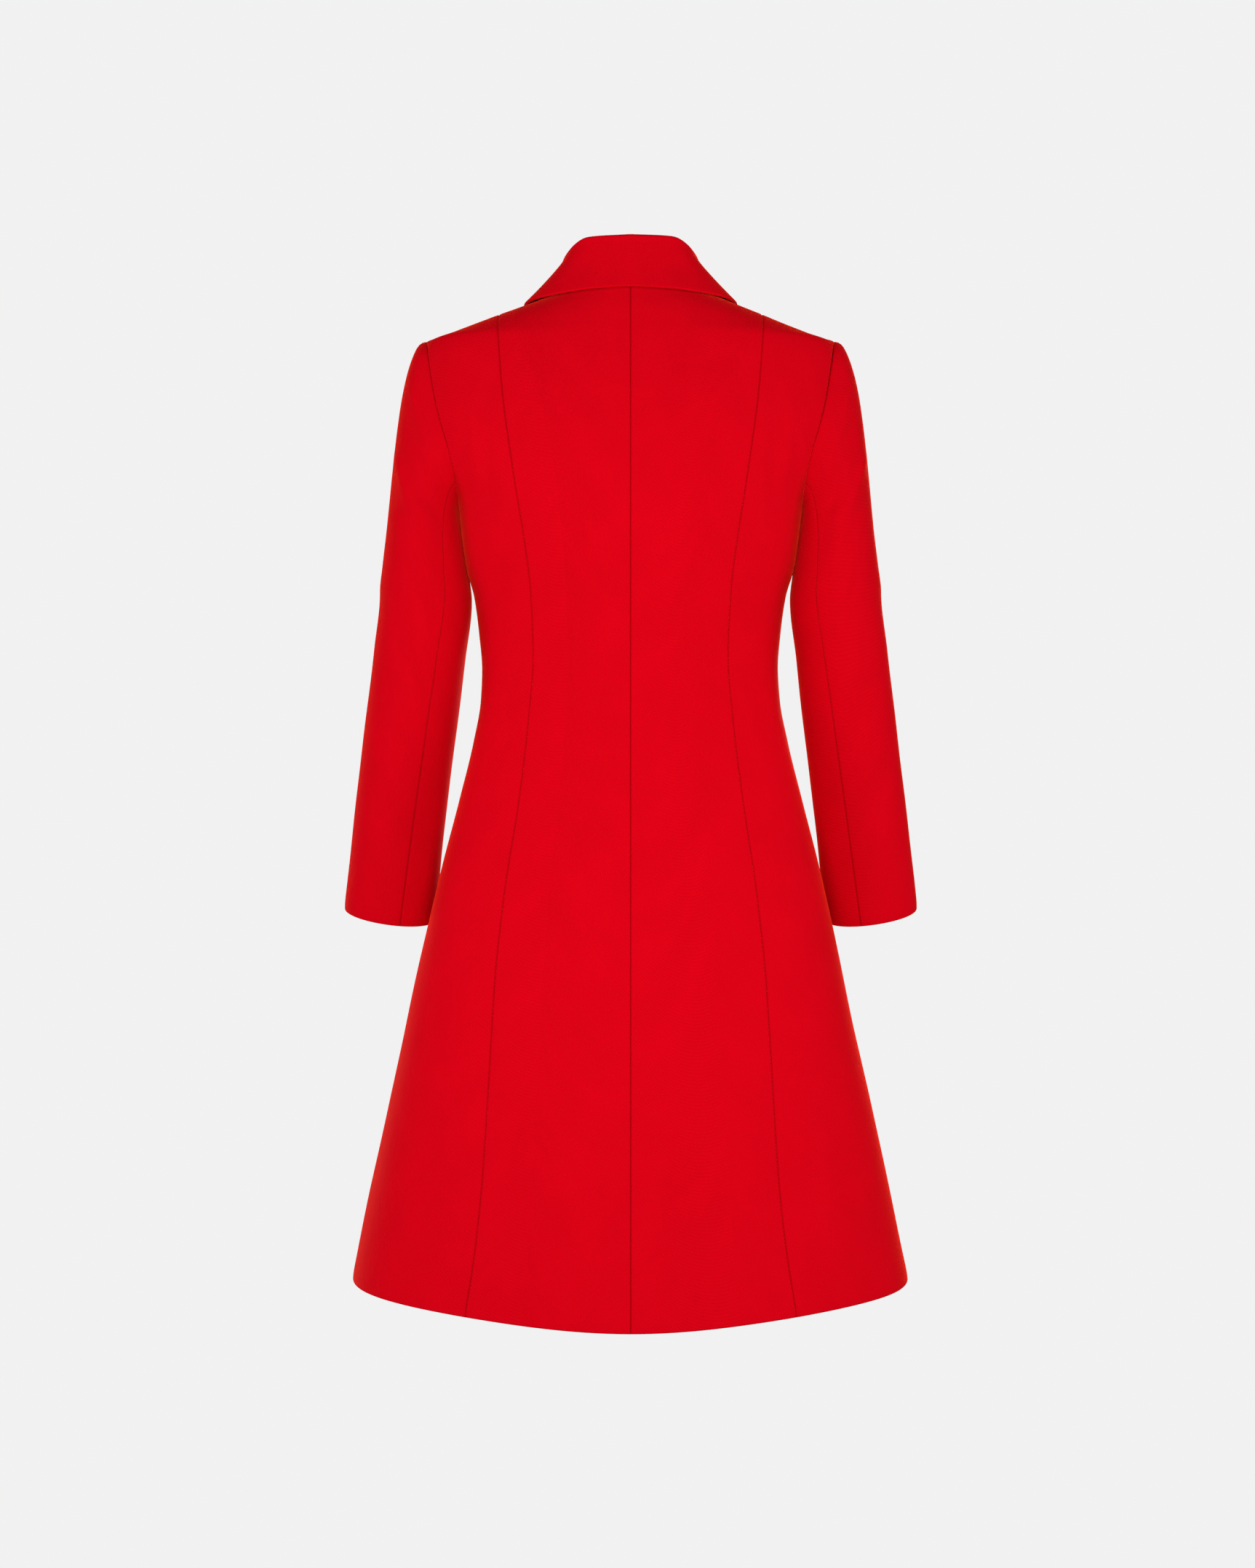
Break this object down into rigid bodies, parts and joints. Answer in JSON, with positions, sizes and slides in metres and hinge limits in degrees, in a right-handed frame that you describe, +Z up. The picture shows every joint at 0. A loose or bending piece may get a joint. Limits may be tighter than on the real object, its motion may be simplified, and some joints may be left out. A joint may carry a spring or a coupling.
{
  "type": "wool coat",
  "caption": "Knee-length fitted wool coat, flared skirt, princess seams, two-piece sleeves, turned-down collar and a buttoned front, filled out with no wearer.",
  "frame": {"origin": "between the two neck points, on the line where the coat sits on the wearer's shoulders", "axes": "+Z up, -Y is the front of the coat, +Y its back, +X the wearer's left"},
  "size_m": [0.5828, 0.4117, 1.0289],
  "materials": {
    "wool": "matte brushed wool twill",
    "button": "satin"
  },
  "bodies": {
    "root": {"back_left": "wool", "back_right": "wool", "side_back_left": "wool", "side_back_right": "wool", "side_front_left": "wool", "side_front_right": "wool", "front_left": "wool", "front_right": "wool", "top_sleeve_left": "wool", "top_sleeve_right": "wool", "under_sleeve_left": "wool", "under_sleeve_right": "wool", "collar_stand": "wool", "collar_fall": "wool", "button_1": "button", "button_2": "button", "button_3": "button", "button_4": "button", "button_5": "button"}
  },
  "joints": []
}
